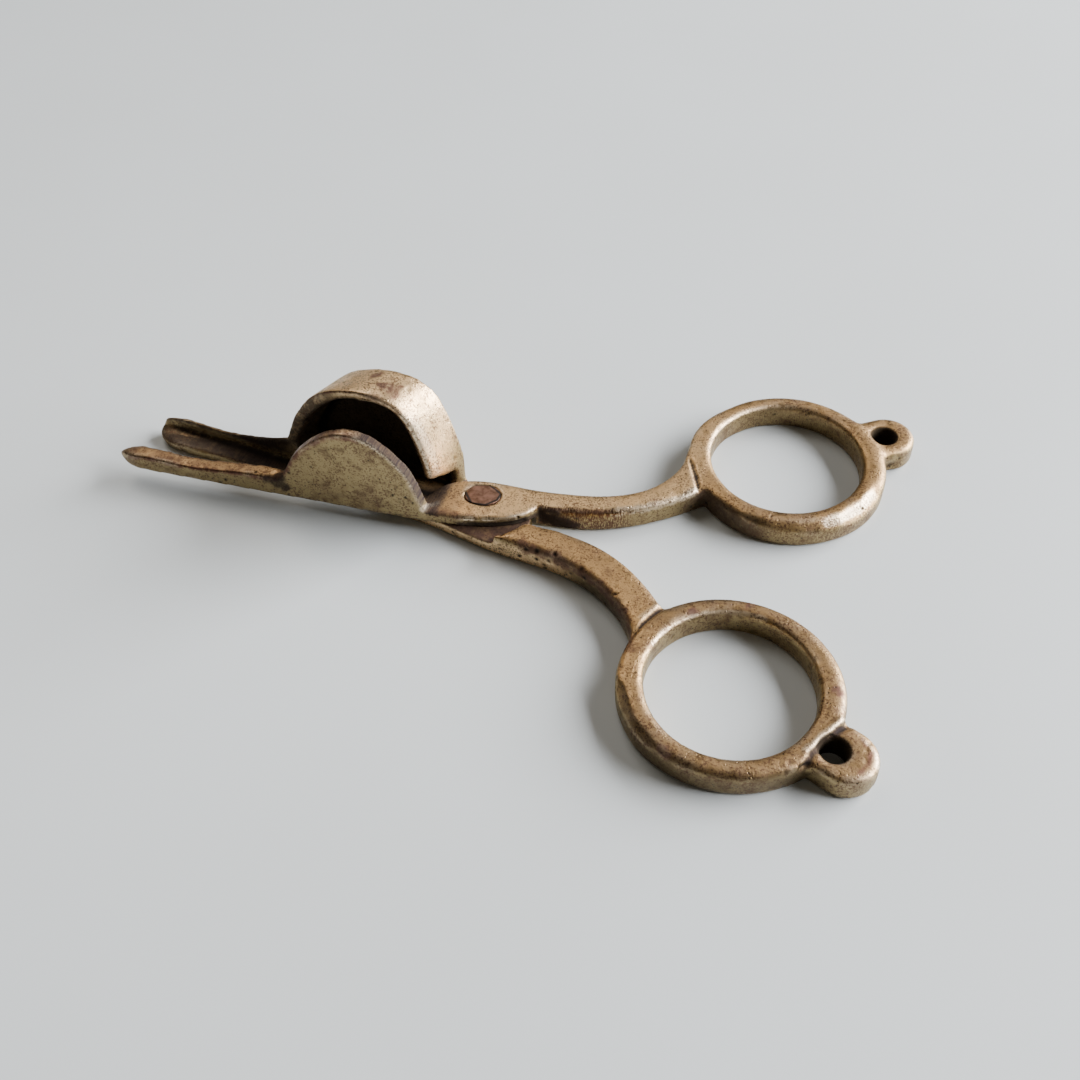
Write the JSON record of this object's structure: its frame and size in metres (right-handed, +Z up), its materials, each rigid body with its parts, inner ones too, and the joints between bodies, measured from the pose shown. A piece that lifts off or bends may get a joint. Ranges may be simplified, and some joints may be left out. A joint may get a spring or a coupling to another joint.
{
  "type": "wick trimmer",
  "caption": "Antique cast-brass scissor-type wick trimmer with an upright press plate, an arched snuffer box, finger rings and drilled hanging lugs, turning on a peened rivet.",
  "frame": {"origin": "where the rivet's axis meets the surface that the tool lies on, at the flat underside of the pivot", "axes": "+X from the rivet towards the finger rings, -X towards the tips, +Y from the near ring towards the far ring, +Z up along the rivet's axis"},
  "size_m": [0.1307, 0.0784, 0.0229],
  "materials": {
    "plate_lever_brass": "aged cast brass, dull olive brown with bright worn edges and dark pitting",
    "box_lever_brass": "aged cast brass, dull tan brown with bright worn edges, sooty inside the box",
    "rivet_copper": "copper-brown peened rivet, satin"
  },
  "bodies": {
    "box_side": {"box_lever": "box_lever_brass"},
    "plate_side": {"plate_lever": "plate_lever_brass", "pivot_rivet": "rivet_copper"}
  },
  "joints": [
    {"name": "pivot", "type": "hinge", "parent": "box_side", "child": "plate_side", "pos_m": [0, 0, 0], "axis": [0, 0, 1], "range_deg": [-8, 68]}
  ]
}
